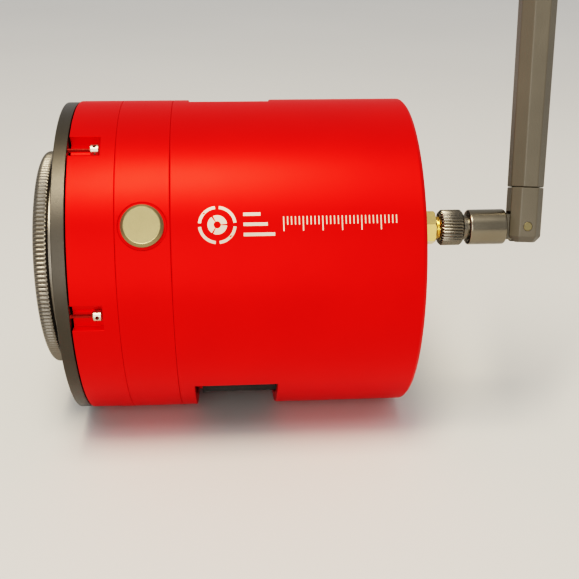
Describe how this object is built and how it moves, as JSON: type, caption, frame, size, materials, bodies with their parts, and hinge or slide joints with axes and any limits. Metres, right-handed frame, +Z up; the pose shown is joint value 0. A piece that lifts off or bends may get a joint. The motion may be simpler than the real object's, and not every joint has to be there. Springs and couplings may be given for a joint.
{
  "type": "cooled astronomy camera",
  "caption": "Cylindrical cooled imaging camera for a telescope, with a tilting front plate, threaded adapter, side vents, fan and a folding radio antenna.",
  "frame": {"origin": "centre of the front face of the thread adapter, on the optical axis", "axes": "+X along the optical axis towards the rear, +Z up, the side with the plug 30 degrees above -Y"},
  "size_m": [0.1395, 0.09, 0.145],
  "materials": {
    "red_anodised": "satin anodised",
    "black_anodised": "satin anodised",
    "bare_aluminium": "satin",
    "stainless_steel": "satin",
    "gold_plated_brass": "polished",
    "black_nickel": "satin plated",
    "window_glass": "polished coated",
    "sensor_glass": "polished",
    "antenna_plastic": "fine textured",
    "sleeve_plastic": "polished",
    "black_plastic": "moulded",
    "rubber": "matt",
    "circuit_board": "solder mask",
    "ceramic": "matt",
    "foam": "matt",
    "copper": "lacquered",
    "light_pipe": "moulded clear"
  },
  "bodies": {
    "camera_body": {"front_ring": "red_anodised", "chamber_ring": "red_anodised", "rear_housing": "red_anodised", "rear_cover": "black_anodised", "rear_cover_screws": "stainless_steel", "assembly_screws": "stainless_steel", "heat_sink": "black_anodised", "heat_sink_screws": "stainless_steel", "window_glass": "window_glass", "window_retaining_ring": "black_anodised", "window_seal": "rubber", "dew_heater_film": "copper", "chamber_seals": "rubber", "image_sensor": "sensor_glass", "guide_sensor": "sensor_glass", "sensor_board": "circuit_board", "sensor_board_posts": "ceramic", "cold_finger": "bare_aluminium", "peltier_cooler": "ceramic", "cooler_insulation": "foam", "desiccant_tablets": "ceramic", "fan_frame": "black_plastic", "fan_coils": "copper", "fan_screws": "stainless_steel", "main_board": "circuit_board", "camera_board": "circuit_board", "board_posts": "gold_plated_brass", "usb_a_ports": "stainless_steel", "usb_c_port": "stainless_steel", "dc_sockets": "black_plastic", "button_switch": "black_plastic", "indicator_light_pipe": "light_pipe", "antenna_connector": "gold_plated_brass", "connector_washer": "gold_plated_brass", "connector_hex_nut": "gold_plated_brass", "tilt_pull_screws": "stainless_steel"},
    "tilt_plate": {"tilt_plate": "black_anodised", "front_adapter_ring": "black_anodised", "tilt_jack_screws": "stainless_steel"},
    "plug_seal": {"plug_o_ring": "rubber"},
    "plug": {"desiccant_plug": "bare_aluminium"},
    "fan_rotor": {"fan_rotor": "black_plastic"},
    "button": {"reset_button": "black_plastic"},
    "coupling_nut": {"antenna_coupling_nut": "black_nickel"},
    "antenna_swivel": {"antenna_barrel": "black_nickel", "antenna_sleeve": "sleeve_plastic"},
    "antenna_blade": {"antenna_hinge_pin": "stainless_steel", "antenna_fork": "antenna_plastic", "antenna_blade": "antenna_plastic", "antenna_tip": "antenna_plastic", "antenna_element": "circuit_board"}
  },
  "joints": [
    {"name": "plate_tilt", "type": "hinge", "parent": "camera_body", "child": "tilt_plate", "pos_m": [0.00935, 0, 0], "axis": [0, 1, 0], "range_deg": [-0.35, 0.35]},
    {"name": "plug_lift", "type": "slide", "parent": "camera_body", "child": "plug_seal", "axis": [0, -0.866, 0.5], "range_m": [0, 0.006]},
    {"name": "plug_turn", "type": "hinge", "parent": "plug_seal", "child": "plug", "pos_m": [0.0305, -0.03464, 0.02], "axis": [0, -0.866, 0.5], "range_deg": [0, 2880]},
    {"name": "fan_spin", "type": "hinge", "parent": "camera_body", "child": "fan_rotor", "pos_m": [0.093, 0.0052, -0.003], "axis": [1, 0, 0], "continuous": true},
    {"name": "button_press", "type": "slide", "parent": "camera_body", "child": "button", "axis": [-1, 0, 0], "range_m": [0, 0.0008], "stiffness_N_per_m": 1500, "springref_m": -0.0005},
    {"name": "nut_turn", "type": "hinge", "parent": "camera_body", "child": "coupling_nut", "pos_m": [0.1112, -0.03118, 0.018], "axis": [1, 0, 0], "continuous": true},
    {"name": "antenna_swivel", "type": "hinge", "parent": "camera_body", "child": "antenna_swivel", "pos_m": [0.1157, -0.03118, 0.018], "axis": [1, 0, 0], "continuous": true},
    {"name": "antenna_fold", "type": "hinge", "parent": "antenna_swivel", "child": "antenna_blade", "pos_m": [0.1312, -0.03118, 0.018], "axis": [0, 0.9553, -0.2957], "range_deg": [-2.5, 87.5]}
  ],
  "couplings": [
    {"joint": "plug_turn", "follows": "plug_lift", "rad_per_m": 8377.6}
  ]
}
